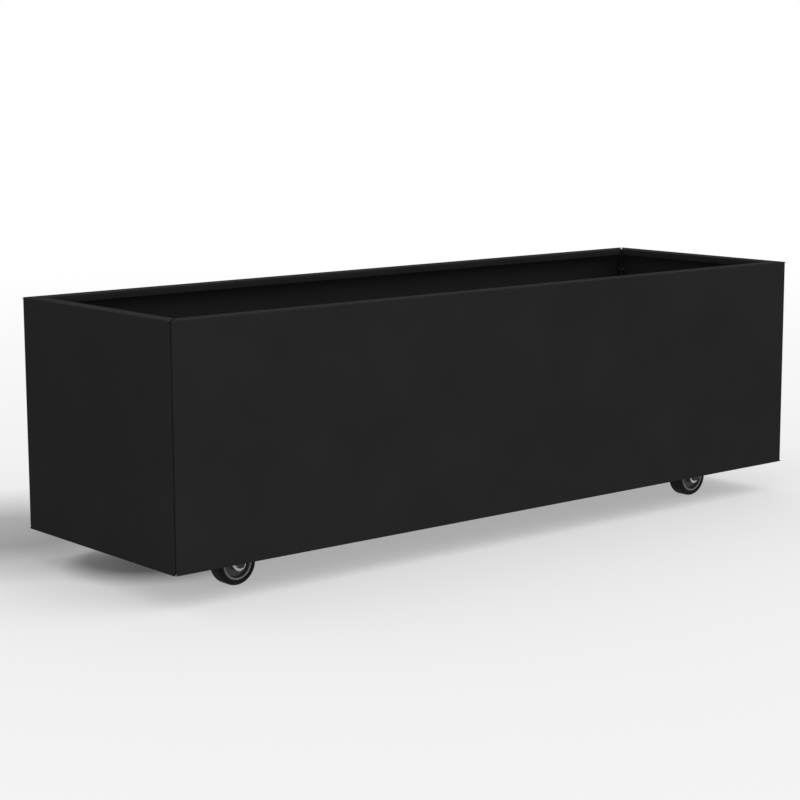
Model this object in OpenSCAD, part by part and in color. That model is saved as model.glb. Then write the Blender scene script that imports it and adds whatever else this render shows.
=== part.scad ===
// Rolling planter: a long powder-coated sheet-steel box on four hidden swivel casters.
// Four folded panels bolt together at diagonal corner flanges. A flat deck lies on ledges that
// stand inside the skirt, and the casters bolt through it and through stiffening rails.
// Millimetres, +Z up. The origin is on the floor, under the middle of the box.
// X runs along the length, and Y from the front panel to the back panel.

/* [Box] */
// Outside length of the box
box_l = 1450; // [1000:10:2000]
// Outside width of the box, front to back
box_w = 450; // [400:10:700]
// Height of the panels, skirt edge to rim
box_h = 400; // [300:10:700]
// Thickness of the sheet steel
sheet_t = 1.5; // [1.25:0.25:2]
// Inside radius of every fold in the sheet
fold_in = 0.75; // [0.5:0.25:1.25]
// Width of the flat rim, outside face to lip
rim_w = 30; // [26:1:45]
// Depth of the lip turned down from the rim
rim_lip = 12; // [8:1:20]
// Width of the flange turned in at the skirt edge
base_w = 18; // [15:1:20]
// Height of the skirt edge above the floor
skirt_gap = 58; // [50:1:64]
// Gap between two panels along a corner
seam_gap = 0.3; // [0.2:0.1:0.6]
// Gap between the mitred ends of two rims
mitre_gap = 3; // [2:0.5:4]

/* [Corner joints] */
// Width of the vertical flange folded along the diagonal
corner_w = 24; // [22:1:28]
// Width that is left of that flange below the deck
corner_stub = 4; // [2:1:6]
// Distance from the bolt to the flange's free edge
corner_edge = 10; // [8:1:11]
// Number of bolts in one corner
corner_bolt_n = 3; // [2:1:4]
// Depth of the top corner bolt below the rim
corner_bolt_top = 46; // [40:1:60]
// Height of the lowest corner bolt above the deck
corner_bolt_low = 50; // [30:1:70]
// Slot between a corner fold and a rim or skirt fold
relief = 1; // [0.5:0.5:2]

/* [Deck and rails] */
// Sliding gap between the deck and the panels
deck_gap = 0.3; // [0.2:0.1:0.8]
// Width of the flanges of the ledges under the deck
foot_w = 15; // [12:1:16]
// Distance of a ledge's end from the deck's corner
deck_notch = 26; // [20:1:40]
// Diameter of a drain hole
drain_d = 20; // [10:1:30]
// Distance of the drain holes from the long centre line
drain_y = 105; // [60:5:120]
// Number of drain holes in each row, on each side of the centre rail
drain_n = 2; // [1:1:3]
// Number of rivets along each long side of the deck
foot_rivet_n = 5; // [3:1:7]
// Distance of the first of them from the end of the box
foot_rivet_end = 150; // [100:10:250]
// Distance between the two rivets at each end of the deck
end_rivet_pitch = 180; // [100:10:240]
// Thickness of a caster rail
rail_t = 3; // [2:0.5:4]
// Width of a caster rail
rail_w = 120; // [112:2:140]
// Depth of a rail's turned-down edges, web included
rail_drop = 14; // [10:1:15]
// Gap between a rail's end and the ledge
rail_end = 4; // [2:1:10]

/* [Centre brace] */
// Width of the brace across the middle of the box
brace_w = 44; // [36:2:60]
// Thickness of the brace
brace_t = 3; // [2:0.5:4]
// Height of the brace above the skirt edge
brace_z = 215; // [150:5:240]
// Height of the brace's turned-up ends
brace_tab = 30; // [24:1:40]
// Distance between the two studs in one end
stud_pitch = 24; // [20:1:30]

/* [Casters] */
// Height of a caster from the floor to the top of its plate
caster_h = 100; // [98:1:106]
// Distance of a swivel axis from the end of the box
caster_in_x = 143; // [110:1:200]
// Distance of a swivel axis from the side of the box
caster_in_y = 94; // [92:1:105]
// Distance from the swivel axis to the axle
trail = 32; // [28:1:34]
// Diameter of the wheel over the tyre
wheel_d = 75; // [70:1:76]
// Width of the tyre
tyre_w = 32; // [26:1:32]
// Length of the caster plate
plate_l = 94; // [92:1:100]
// Width of the caster plate
plate_w = 65; // [64:1:72]
// Thickness of the caster plate
plate_t = 2.5; // [2:0.5:3]
// Bolt spacing along the caster plate
plate_pitch_l = 75; // [70:1:76]
// Bolt spacing across the caster plate
plate_pitch_w = 45; // [42:1:48]
// Radius of the caster plate's corners
plate_corner = 6; // [3:1:8]
// Thickness of the fork's pressed sheet
fork_t = 2.5; // [2:0.25:3]
// Inside width of the fork
fork_gap = 36; // [35.5:0.5:38]
// Radius of the fork's rounded end round the axle
fork_end_r = 12; // [10:1:14]
// Half length of the fork's crown
crown_half = 22; // [20:1:24]
// Radius of the round raceway on the fork
crown_r = 25; // [23:1:26]

/* [Swivel bearing] */
// Diameter of the king pin
king_d = 12; // [10:1:14]
// Overhang and thickness of the king pin's heads
king_head = 3; // [2:0.5:3]
// Gap between the king pin and the fork
king_clear = 1; // [0.5:0.25:1]
// Diameter of the upper balls
ball_d = 6; // [5:0.5:6]
// Pitch radius of the upper balls
ball_r = 17; // [16.5:0.5:18]
// Number of upper balls
ball_n = 14; // [10:1:15]
// Diameter of the lower balls
low_ball_d = 4; // [3:0.5:4]
// Pitch radius of the lower balls
low_ball_r = 11; // [10.5:0.5:11.5]
// Number of lower balls
low_ball_n = 12; // [8:1:14]
// Thickness of an upper raceway ring
race_t = 3.5; // [3:0.5:4]
// Thickness of the lower race
cup_t = 3; // [2:0.5:4]
// Gap between the two halves of a raceway
race_gap = 2; // [1.5:0.5:2]
// Clearance all round a ball in its groove
ball_play = 0.1; // [0.05:0.05:0.15]

/* [Wheel] */
// Radius of the tyre's seat on the core
seat_r = 29; // [27:0.5:30]
// Depth of the groove that keys the tyre
key_depth = 2; // [1:0.5:3]
// Width of the groove that keys the tyre
key_w = 10; // [6:1:14]
// Inset of the core's rim from the tyre's side
rim_inset = 1; // [0.5:0.5:3]
// Radial thickness of the core's rim
rim_t = 5; // [4:0.5:6]
// Thickness of the core's web
web_w = 16; // [8:1:20]
// Radius of the core's hub
hub_r = 11; // [10:0.5:13]
// End play of the hub between the fork's legs, each side
hub_play = 0.4; // [0.3:0.1:0.6]
// Radius of the tyre's shoulders
shoulder_r = 7; // [3:0.5:8]
// Outside diameter of the axle sleeve
sleeve_d = 12; // [11:0.5:14]
// Running clearance of the hub on its sleeve, on the radius
run_clear = 0.05; // [0.03:0.01:0.08]

/* [Fasteners] */
// Diameter of the corner bolts and brace studs
bolt_d = 5; // [4:1:6]
// Width across flats of their heads and nuts
bolt_af = 8; // [8:1:10]
// Diameter of the caster bolts and axle bolts
big_d = 8; // [7:1:8]
// Width across flats of the large nuts and axle heads
big_af = 13; // [12:1:13]
// Thickness of the washers under the caster nuts
washer_t = 1.6; // [1:0.1:2]
// Diameter of the rivets
rivet_d = 4.8; // [4:0.2:4.8]
// Clearance of a bolt in its hole, on the diameter
hole_play = 0.6; // [0.4:0.1:0.8]
// Clearance of a shank in its nut, or of a rivet or pin in its hole, on the diameter
nut_play = 0.1; // [0.06:0.02:0.2]
// Gap under a head, nut or washer
seat_gap = 0.1; // [0.05:0.05:0.2]

/* [Hidden] */
$fn = 48;
CASTERS = ["front_left", "front_right", "back_left", "back_right"];
CASTER_PARTS = ["plate", "king_pin", "race_balls", "lower_race", "fork", "axle_bolt", "axle_nut",
    "axle_sleeve", "wheel_core", "tyre"];

steel_black = [0.09, 0.09, 0.09];
zinc = [0.66, 0.67, 0.68];
black_oxide = [0.16, 0.15, 0.14];
core_grey = [0.17, 0.18, 0.20];
tyre_black = [0.07, 0.075, 0.08];

// Folds and corners of the sheet, measured from the outside corner of the box
fold_r = fold_in + sheet_t;                              // outside radius of a fold
corner_in = fold_r + sqrt(2) * (fold_r + seam_gap / 2);  // where a face starts to turn into a corner
corner_u = (corner_in + fold_r) / sqrt(2);               // start of the diagonal flange, along the diagonal
bolt_u = corner_u + corner_w - corner_edge;              // corner bolt, along the diagonal

// Heights above the skirt edge
rail_low = caster_h - skirt_gap;                         // underside of the rails, where the plates seat
deck_h = rail_low + rail_t + sheet_t;                    // top of the deck
ledge_h = deck_h - sheet_t;                              // top of the ledges, where the deck lies
foot_z = sheet_t + deck_gap;                             // underside of a ledge's foot
corner_z = deck_h + sheet_t;                             // lower end of the wide corner flange
corner_zs = [for (i = [0:corner_bolt_n - 1])
    deck_h + corner_bolt_low
        + i * (box_h - corner_bolt_top - deck_h - corner_bolt_low) / (corner_bolt_n - 1)];

// Deck, seen from above
deck_l = box_l - 2 * (sheet_t + deck_gap);
deck_w = box_w - 2 * (sheet_t + deck_gap);
rivet_in = sheet_t + deck_gap + (fold_r + foot_w) / 2;   // rivet line, from the outside of the box
foot_rivet_step = (box_l - 2 * foot_rivet_end) / (foot_rivet_n - 1);
drain_step = (box_l / 2 - caster_in_x - rail_w) / drain_n;

// Caster plan, about the middle of the box
caster_x = box_l / 2 - caster_in_x;
caster_y = box_w / 2 - caster_in_y;
wheel_r = wheel_d / 2;

// Caster heights above the floor
plate_low = caster_h - plate_t;                          // underside of the caster plate
race_top = plate_low - race_t;                           // bottom of the plate's raceway ring
crown_top = race_top - race_gap;                         // top of the fork's raceway
crown_mid = crown_top - race_t;                          // top of the pressed fork
crown_low = crown_mid - fork_t;                          // underside of the pressed fork
cup_top = crown_low - race_gap;                          // top of the lower race
cup_low = cup_top - cup_t;                               // underside of the lower race

head_h = 3.5;           // height of a corner bolt's head
nut_h = 5;              // height of a small nut
big_head_h = 5.3;       // height of an axle bolt's head
big_nut_h = 6.5;        // height of a large nut
axle_nut_h = 8;         // height of a locking nut
tip = 2;                // length of a shank beyond its nut
dome_h = 4;             // height of a caster bolt's domed head
rivet_head_h = 1.4;     // height of a rivet's domed head
rivet_end_h = 2.6;      // height of a rivet's formed end
far = box_l + box_w;    // larger than any piece that is cut
over = 1;               // how far a cutter runs past what it cuts, or a rib into its body

// Extrudes a (Y, Z) outline along X, about the middle
module along_x(length) rotate([90, 0, 90]) translate([0, 0, -length / 2]) linear_extrude(length) children();

// Extrudes an (X, Z) outline along Y, about the middle
module along_y(length) translate([0, length / 2, 0]) rotate([90, 0, 0]) linear_extrude(length) children();

// A quarter of a folded sheet's bend round its centre, in the quadrant with these signs
module bend(sx, sy, r, t) intersection() {
    difference() {
        circle(r);
        circle(r - t);
    }
    translate([sx < 0 ? -r : 0, sy < 0 ? -r : 0]) square(r);
}

// Children at the four outside corners of the box, with +X along the diagonal into the box
module at_corners() for (sx = [0, 1], sy = [0, 1])
    mirror([sx, 0, 0]) mirror([0, sy, 0]) translate([-box_l / 2, -box_w / 2, 0]) rotate(45) children();

// Children at a caster's swivel axis, turned so that +X trails towards the middle of the box
module at_caster(name) {
    right = name == "front_right" || name == "back_right";
    back = name == "back_left" || name == "back_right";
    translate([right ? caster_x : -caster_x, back ? caster_y : -caster_y, 0])
        mirror([right ? 1 : 0, 0, 0]) mirror([0, back ? 1 : 0, 0]) children();
}

// Children at every caster
module at_casters() for (name = CASTERS) at_caster(name) children();

// Children at a caster plate's four bolts
module at_plate_bolts() for (sx = [-1, 1], sy = [-1, 1])
    translate([sx * plate_pitch_l / 2, sy * plate_pitch_w / 2, 0]) children();

// Children at the rivets that hold the ledges to the skirt flange and to the deck
module at_deck_rivets() {
    for (sy = [-1, 1], i = [0:foot_rivet_n - 1])
        translate([(i - (foot_rivet_n - 1) / 2) * foot_rivet_step, sy * (box_w / 2 - rivet_in), 0])
            children();
    for (sx = [-1, 1], sy = [-1, 1])
        translate([sx * (box_l / 2 - rivet_in), sy * end_rivet_pitch / 2, 0]) children();
}

// Children at the rivets that hold the rails to the deck
module at_rail_rivets() {
    for (sx = [-1, 1], sy = [-1, 1]) translate([sx * rail_w / 3, sy * box_w / 4, 0]) children();
    for (sx = [-1, 1], dx = [-1, 1]) translate([sx * caster_x + dx * rail_w / 3, 0, 0]) children();
}

// Children at the drain holes, in two rows that keep clear of the three rails
module at_drains() for (i = [0:drain_n - 1], sx = [-1, 1], sy = [-1, 1])
    translate([sx * (rail_w / 2 + (i + 0.5) * drain_step), sy * drain_y, 0]) children();

// Children at the brace's studs, with +Y pointing into the box
module at_studs() for (sy = [0, 1], sx = [-1, 1]) mirror([0, sy, 0])
    translate([sx * stud_pitch / 2, -box_w / 2 + sheet_t, skirt_gap + brace_z + brace_tab / 2 + fold_r / 2])
        children();

// A hexagon with this width across flats
module hex(af, h) cylinder(r = af / sqrt(3), h = h, $fn = 6);

// A hexagon nut standing on z = 0
module nut(d, af, h) difference() {
    hex(af, h);
    translate([0, 0, -over]) cylinder(d = d + nut_play, h = h + 2 * over);
}

// A domed head standing on z = 0: the cap of a sphere
module dome(r, h) {
    ball = (r * r + h * h) / (2 * h);
    intersection() {
        translate([0, 0, h - ball]) sphere(ball);
        cylinder(r = ball, h = h);
    }
}

// A rivet through a stack of sheets that starts at z = 0, with its head below and its formed end above
module rivet(stack) {
    mirror([0, 0, 1]) dome(rivet_d, rivet_head_h);
    translate([0, 0, -seat_gap]) cylinder(d = rivet_d, h = stack + 2 * seat_gap);
    translate([0, 0, stack]) cylinder(d1 = 1.5 * rivet_d, d2 = 1.2 * rivet_d, h = rivet_end_h);
}

// Rim: outer fold, flat, inner fold and lip, as a (Y, Z) outline
module rim_outline() {
    translate([fold_r, box_h - fold_r]) bend(-1, 1, fold_r, sheet_t);
    translate([fold_r, box_h - sheet_t]) square([rim_w - 2 * fold_r, sheet_t]);
    translate([rim_w - fold_r, box_h - fold_r]) bend(1, 1, fold_r, sheet_t);
    translate([rim_w - sheet_t, box_h - rim_lip]) square([sheet_t, rim_lip - fold_r]);
}

// Skirt flange, as a (Y, Z) outline
module skirt_outline() {
    translate([fold_r, fold_r]) bend(-1, -1, fold_r, sheet_t);
    translate([fold_r, 0]) square([base_w - fold_r, sheet_t]);
}

// Cuts both ends of a rim or flange to the mitre
module mitred(length) difference() {
    children();
    for (s = [0, 1]) mirror([s, 0, 0]) translate([-length / 2 + mitre_gap / sqrt(2), 0, -over])
        rotate(45) translate([-far / 2, 0, 0]) cube([far, far, box_h + 2 * over]);
}

// The vertical fold at a panel's end: a strip of its face, the bend, and a flange along the diagonal
module corner_outline(width) {
    translate([0, -fold_r]) square(sheet_t);
    intersection() {
        difference() {
            circle(fold_r);
            circle(fold_in);
        }
        polygon([[0, 0], for (a = [135:45:270]) 2 * fold_r * [cos(a), sin(a)]]);
    }
    rotate(45) translate([0, fold_in]) square([width, sheet_t]);
}

// One folded panel: outside face on y = 0, skirt edge on z = 0, inside towards +Y
module panel(length) {
    low = fold_r + relief;
    difference() {
        union() {
            mitred(length) along_x(length) rim_outline();
            mitred(length) along_x(length) skirt_outline();
            translate([-length / 2 + corner_in, 0, fold_r])
                cube([length - 2 * corner_in, sheet_t, box_h - 2 * fold_r]);
            for (s = [0, 1]) mirror([s, 0, 0]) translate([-length / 2 + corner_in, fold_r, 0]) {
                translate([0, 0, low]) linear_extrude(box_h - 2 * low) corner_outline(corner_stub);
                translate([0, 0, corner_z]) linear_extrude(box_h - low - corner_z) corner_outline(corner_w);
            }
        }
        for (s = [0, 1], z = corner_zs) mirror([s, 0, 0]) translate([-length / 2, 0, z]) rotate(45)
            translate([bolt_u, 0, 0]) rotate([90, 0, 0])
                cylinder(d = bolt_d + hole_play, h = 4 * sheet_t, center = true);
    }
}

// Cuts the rivet holes of the skirt flange out of a placed panel
module riveted() difference() {
    children();
    translate([0, 0, skirt_gap]) at_deck_rivets()
        cylinder(d = rivet_d + nut_play, h = 4 * sheet_t, center = true);
}

module front_panel() color(steel_black) riveted()
    translate([0, -box_w / 2, skirt_gap]) panel(box_l);

module back_panel() color(steel_black) riveted()
    translate([0, box_w / 2, skirt_gap]) rotate(180) panel(box_l);

module left_panel() color(steel_black) riveted()
    translate([-box_l / 2, 0, skirt_gap]) rotate(-90) panel(box_w);

module right_panel() color(steel_black) riveted()
    translate([box_l / 2, 0, skirt_gap]) rotate(90) panel(box_w);

// The flat deck, with its corners cut clear of the panels' corner folds
module deck() color(steel_black) translate([0, 0, skirt_gap]) difference() {
    translate([-deck_l / 2, -deck_w / 2, ledge_h]) cube([deck_l, deck_w, sheet_t]);
    at_corners() translate([-far, -far / 2, 0])
        cube([far + corner_u + corner_stub + relief, far, deck_h + over]);
    deck_holes();
    rivet_holes();
    at_drains() cylinder(d = drain_d, h = deck_h + over);
}

// The holes through the deck and rails for bolts and rivets
module deck_holes() {
    at_casters() at_plate_bolts() cylinder(d = big_d + hole_play, h = deck_h + over);
    at_rail_rivets() cylinder(d = rivet_d + nut_play, h = deck_h + over);
}

// The holes through the deck and ledges for their rivets
module rivet_holes() at_deck_rivets() cylinder(d = rivet_d + nut_play, h = deck_h + over);

// A ledge: a channel with its web outside and its two flanges inwards, as a (Y, Z) outline
module ledge_outline() {
    translate([fold_r, foot_z]) square([foot_w - fold_r, sheet_t]);
    translate([fold_r, foot_z + fold_r]) bend(-1, -1, fold_r, sheet_t);
    translate([0, foot_z + fold_r]) square([sheet_t, ledge_h - foot_z - 2 * fold_r]);
    translate([fold_r, ledge_h - fold_r]) bend(-1, 1, fold_r, sheet_t);
    translate([fold_r, ledge_h - sheet_t]) square([foot_w - fold_r, sheet_t]);
}

// Two ledges that face each other along X, each this long and with their webs this far apart
module ledges(length, apart) for (s = [0, 180])
    rotate(s) translate([0, -apart / 2, 0]) along_x(length) ledge_outline();

module long_ledges() color(steel_black) translate([0, 0, skirt_gap]) difference() {
    ledges(deck_l - 2 * deck_notch, deck_w);
    rivet_holes();
}

module end_ledges() color(steel_black) translate([0, 0, skirt_gap]) difference() {
    rotate(90) ledges(deck_w - 2 * deck_notch, deck_l);
    rivet_holes();
}

// A folded channel under the deck, open downwards, as an (X, Z) outline
module rail_outline() {
    r = fold_in + rail_t;
    translate([-rail_w / 2 + r, rail_low]) square([rail_w - 2 * r, rail_t]);
    for (s = [-1, 1]) {
        translate([s * (rail_w / 2 - r), rail_low + rail_t - r]) bend(s, 1, r, rail_t);
        translate([s > 0 ? rail_w / 2 - rail_t : -rail_w / 2, rail_low + rail_t - rail_drop])
            square([rail_t, rail_drop - r]);
    }
}

// One rail across the box at this place along it
module rail(x) color(steel_black) translate([0, 0, skirt_gap]) difference() {
    translate([x, 0, 0]) along_y(deck_w - 2 * (foot_w + rail_end)) rail_outline();
    deck_holes();
}

module left_rail() rail(-caster_x);

module centre_rail() rail(0);

module right_rail() rail(caster_x);

// The brace: a flat bar across the box with both ends folded up against the long panels
module centre_brace() color(steel_black) {
    r = fold_in + brace_t;
    half = box_w / 2 - sheet_t - deck_gap;
    translate([0, 0, skirt_gap + brace_z]) difference() {
        along_x(brace_w) {
            translate([-half + r, 0]) square([2 * (half - r), brace_t]);
            for (s = [-1, 1]) {
                translate([s * (half - r), r]) bend(s, -1, r, brace_t);
                translate([s > 0 ? half - brace_t : -half, r]) square([brace_t, brace_tab - r]);
            }
        }
        translate([0, 0, -skirt_gap - brace_z]) at_studs() rotate([-90, 0, 0])
            cylinder(d = bolt_d + hole_play, h = 3 * brace_t, center = true);
    }
}

module brace_studs() color(zinc) at_studs() rotate([-90, 0, 0])
    cylinder(d = bolt_d, h = deck_gap + brace_t + nut_h + tip);

module brace_nuts() color(zinc) at_studs() rotate([-90, 0, 0])
    translate([0, 0, deck_gap + brace_t + seat_gap]) nut(bolt_d, bolt_af, nut_h);

// Half the thickness of two corner flanges with the gap between them
flange_half = sheet_t + seam_gap / 2;

module corner_bolts() color(black_oxide) translate([0, 0, skirt_gap]) at_corners() for (z = corner_zs)
    translate([bolt_u, -flange_half - seat_gap, z]) rotate([-90, 0, 0]) {
        translate([0, 0, -head_h]) hex(bolt_af, head_h);
        cylinder(d = bolt_d, h = 2 * (flange_half + seat_gap) + nut_h + tip);
    }

module corner_nuts() color(black_oxide) translate([0, 0, skirt_gap]) at_corners() for (z = corner_zs)
    translate([bolt_u, flange_half + seat_gap, z]) rotate([-90, 0, 0]) nut(bolt_d, bolt_af, nut_h);

// Rivets through the skirt flange and a ledge's foot, and through the deck and a ledge's top
module deck_rivets() color(zinc) translate([0, 0, skirt_gap]) at_deck_rivets() {
    rivet(foot_z + sheet_t);
    translate([0, 0, deck_h]) mirror([0, 0, 1]) rivet(2 * sheet_t);
}

module rail_rivets() color(zinc) translate([0, 0, skirt_gap + rail_low]) at_rail_rivets()
    rivet(rail_t + sheet_t);

// Bolts with domed heads on the deck, and washers and nuts under the caster plates
module caster_bolts() color(zinc) at_casters() at_plate_bolts() {
    stack = rail_t + sheet_t + seat_gap;
    reach = plate_t + 2 * seat_gap + washer_t + big_nut_h + tip;
    translate([0, 0, caster_h - reach]) cylinder(d = big_d, h = reach + stack);
    translate([0, 0, caster_h + stack]) dome(big_d, dome_h);
}

module caster_washers() color(zinc) at_casters() at_plate_bolts()
    translate([0, 0, plate_low - seat_gap - washer_t]) difference() {
        cylinder(d = 2 * big_d, h = washer_t);
        translate([0, 0, -over]) cylinder(d = big_d + hole_play, h = washer_t + 2 * over);
    }

module caster_nuts() color(zinc) at_casters() at_plate_bolts()
    translate([0, 0, plate_low - 2 * seat_gap - washer_t - big_nut_h]) nut(big_d, big_af, big_nut_h);

// The ring that a row of balls runs in, centred on z = 0
module groove(radius, d) rotate_extrude() translate([radius, 0]) circle(d = d + 2 * ball_play);

// Caster plate with rounded corners, bolt holes and the upper half of the raceway
module caster_plate() color(zinc) difference() {
    union() {
        translate([0, 0, plate_low]) linear_extrude(plate_t) {
            square([plate_l, plate_w - 2 * plate_corner], center = true);
            square([plate_l - 2 * plate_corner, plate_w], center = true);
            for (sx = [-1, 1], sy = [-1, 1])
                translate([sx * (plate_l / 2 - plate_corner), sy * (plate_w / 2 - plate_corner)])
                    circle(plate_corner);
        }
        translate([0, 0, race_top]) cylinder(r = crown_r, h = plate_low - race_top);
    }
    at_plate_bolts() cylinder(d = big_d + hole_play, h = caster_h + over);
    cylinder(d = king_d + nut_play, h = caster_h + over);
    translate([0, 0, plate_low]) cylinder(r = king_d / 2 + king_head, h = plate_t + over);
    translate([0, 0, race_top - race_gap / 2]) groove(ball_r, ball_d);
}

// King pin: a flush head in the plate, and a formed head under the lower race
module king_pin() color(zinc) {
    translate([0, 0, plate_low + seat_gap])
        cylinder(r = king_d / 2 + king_head - nut_play / 2, h = plate_t - 2 * seat_gap);
    translate([0, 0, cup_low - seat_gap]) cylinder(d = king_d, h = plate_low - cup_low + 2 * seat_gap);
    translate([0, 0, cup_low - seat_gap - king_head])
        cylinder(r1 = king_d / 2, r2 = king_d / 2 + king_head, h = king_head);
}

module race_balls() color(zinc) {
    for (i = [0:ball_n - 1]) rotate(i * 360 / ball_n)
        translate([ball_r, 0, crown_top + race_gap / 2]) sphere(d = ball_d);
    for (i = [0:low_ball_n - 1]) rotate(i * 360 / low_ball_n)
        translate([low_ball_r, 0, cup_top + race_gap / 2]) sphere(d = low_ball_d);
}

module lower_race() color(zinc) difference() {
    translate([0, 0, cup_low]) cylinder(r = low_ball_r + low_ball_d, h = cup_t);
    translate([0, 0, cup_low - over]) cylinder(d = king_d + nut_play, h = cup_t + 2 * over);
    translate([0, 0, cup_top + race_gap / 2]) groove(low_ball_r, low_ball_d);
}

// The point where a line from p touches the circle round c, on the side given by its sign
function touch(p, c, r, side) =
    let (v = p - c, a = atan2(v[1], v[0]) + side * acos(r / norm(v)))
    c + r * [cos(a), sin(a)];

// Side view of the fork: a crown that narrows to a round end at the axle
module fork_side() {
    axle = [trail, wheel_r];
    rear = [-crown_half, crown_low - fork_t];
    fore = [crown_half + fork_t, crown_low - fork_t];
    translate(axle) circle(fork_end_r);
    polygon([[-crown_half, crown_mid], rear, touch(rear, axle, fork_end_r, 1), axle,
        touch(fore, axle, fork_end_r, -1), fore, [crown_half, crown_mid]]);
}

// End view of the fork: two legs and a web with rounded shoulders, as a (Y, Z) outline
module fork_front() {
    half = fork_half;
    r = 2.4 * fork_t;
    translate([-half + r, crown_low]) square([2 * (half - r), fork_t]);
    for (s = [-1, 1]) {
        translate([s * (half - r), crown_mid - r]) bend(s, 1, r, fork_t);
        translate([s > 0 ? half - fork_t : -half, 0]) square([fork_t, crown_mid - r]);
    }
}

module fork() color(zinc) difference() {
    union() {
        intersection() {
            along_y(fork_gap + 4 * fork_t) fork_side();
            along_x(2 * (crown_half + trail + fork_end_r)) fork_front();
        }
        translate([0, 0, crown_mid]) cylinder(r = crown_r, h = race_t);
    }
    translate([0, 0, crown_low - over])
        cylinder(d = king_d + 2 * king_clear, h = race_t + fork_t + 2 * over);
    translate([0, 0, crown_top + race_gap / 2]) groove(ball_r, ball_d);
    translate([0, 0, crown_low - race_gap / 2]) groove(low_ball_r, low_ball_d);
    at_axle() cylinder(d = big_d + nut_play, h = 2 * fork_gap, center = true);
}

// Children on the axle, with +Z along it towards the middle of the box
module at_axle() translate([trail, 0, wheel_r]) rotate([-90, 0, 0]) children();

// Half the width of the fork outside its legs
fork_half = fork_gap / 2 + fork_t;

module axle_bolt() color(black_oxide) at_axle() {
    half = fork_half + seat_gap;
    translate([0, 0, -half - big_head_h]) hex(big_af, big_head_h);
    translate([0, 0, -half]) cylinder(d = big_d, h = 2 * half + axle_nut_h + tip);
}

module axle_nut() color(zinc) at_axle() translate([0, 0, fork_half + seat_gap])
    nut(big_d, big_af, axle_nut_h);

module axle_sleeve() color(zinc) at_axle() difference() {
    cylinder(d = sleeve_d, h = fork_gap - 2 * seat_gap, center = true);
    cylinder(d = big_d + nut_play, h = fork_gap, center = true);
}

// Half the outline of the core, (radius, distance along the axle)
module core_outline() {
    hub_half = fork_gap / 2 - hub_play;
    rim_half = tyre_w / 2 - rim_inset;
    bore = sleeve_d / 2 + run_clear;
    difference() {
        union() {
            translate([bore, -hub_half]) square([hub_r - bore, 2 * hub_half]);
            translate([hub_r, -web_w / 2]) square([seat_r - hub_r, web_w]);
            translate([seat_r - rim_t, -rim_half]) square([rim_t, 2 * rim_half]);
        }
        translate([seat_r - key_depth, -key_w / 2]) square([key_depth + over, key_w]);
    }
}

module wheel_core() color(core_grey) at_axle() rotate_extrude() core_outline();

// Half the outline of the tyre, with rounded shoulders and the rib that keys it to the core
module tyre_outline() {
    inner = seat_r + run_clear;
    intersection() {
        union() {
            translate([0, -tyre_w / 2]) square([wheel_r - shoulder_r, tyre_w]);
            translate([0, -tyre_w / 2 + shoulder_r]) square([wheel_r, tyre_w - 2 * shoulder_r]);
            for (s = [-1, 1]) translate([wheel_r - shoulder_r, s * (tyre_w / 2 - shoulder_r)])
                circle(shoulder_r);
        }
        translate([inner, -tyre_w / 2]) square([wheel_r - inner, tyre_w]);
    }
    translate([inner - key_depth, -key_w / 2 + run_clear])
        square([key_depth + over, key_w - 2 * run_clear]);
}

module tyre() color(tyre_black) at_axle() rotate_extrude() tyre_outline();

// One piece of a caster, by its name
module caster_part(part) {
    if (part == "plate") caster_plate();
    if (part == "king_pin") king_pin();
    if (part == "race_balls") race_balls();
    if (part == "lower_race") lower_race();
    if (part == "fork") fork();
    if (part == "axle_bolt") axle_bolt();
    if (part == "axle_nut") axle_nut();
    if (part == "axle_sleeve") axle_sleeve();
    if (part == "wheel_core") wheel_core();
    if (part == "tyre") tyre();
}

front_panel();
back_panel();
left_panel();
right_panel();
deck();
long_ledges();
end_ledges();
left_rail();
centre_rail();
right_rail();
centre_brace();
brace_studs();
brace_nuts();
corner_bolts();
corner_nuts();
deck_rivets();
rail_rivets();
caster_bolts();
caster_washers();
caster_nuts();
for (name = CASTERS, part = CASTER_PARTS)
    at_caster(name) caster_part(part);
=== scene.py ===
"""A long planter box of folded black sheet steel that rolls on casters tucked under its skirt.

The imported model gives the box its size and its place. This script makes the surfaces that are
seen: the four folded panels, the casters' forks and wheels, and the fasteners. The deck with its
ledges and rails, the brace, the caster plates and the bearings keep their own shapes and get
their finish here. Metres, +Z up. The origin is on the floor, under the middle of the box.
"""
import math

import bmesh
import bpy
import numpy as np
from mathutils import Matrix, Vector


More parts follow.
